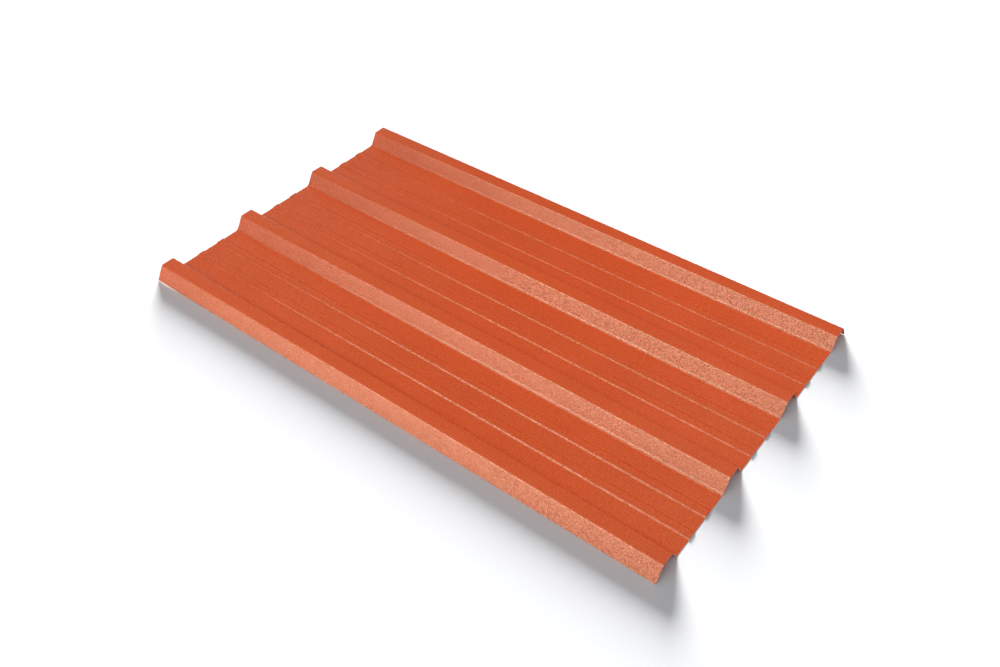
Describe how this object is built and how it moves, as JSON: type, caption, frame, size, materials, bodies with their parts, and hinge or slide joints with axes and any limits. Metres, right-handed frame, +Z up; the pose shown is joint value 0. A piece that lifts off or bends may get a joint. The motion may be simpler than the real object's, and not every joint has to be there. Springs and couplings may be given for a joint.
{
  "type": "trapezoidal roof sheet",
  "caption": "Thin painted steel roof sheet, roll-formed into tall trapezoidal ribs with flat pans and low stiffening ribs between them.",
  "frame": {"origin": "centre of the sheet on the plane that its pans rest on", "axes": "+X along the ribs, +Y across the ribs, +Z up from the painted weather side"},
  "size_m": [1.85, 1.1, 0.0456],
  "materials": {
    "painted_steel": "satin"
  },
  "bodies": {
    "root": {"roof_sheet": "painted_steel"}
  },
  "joints": []
}
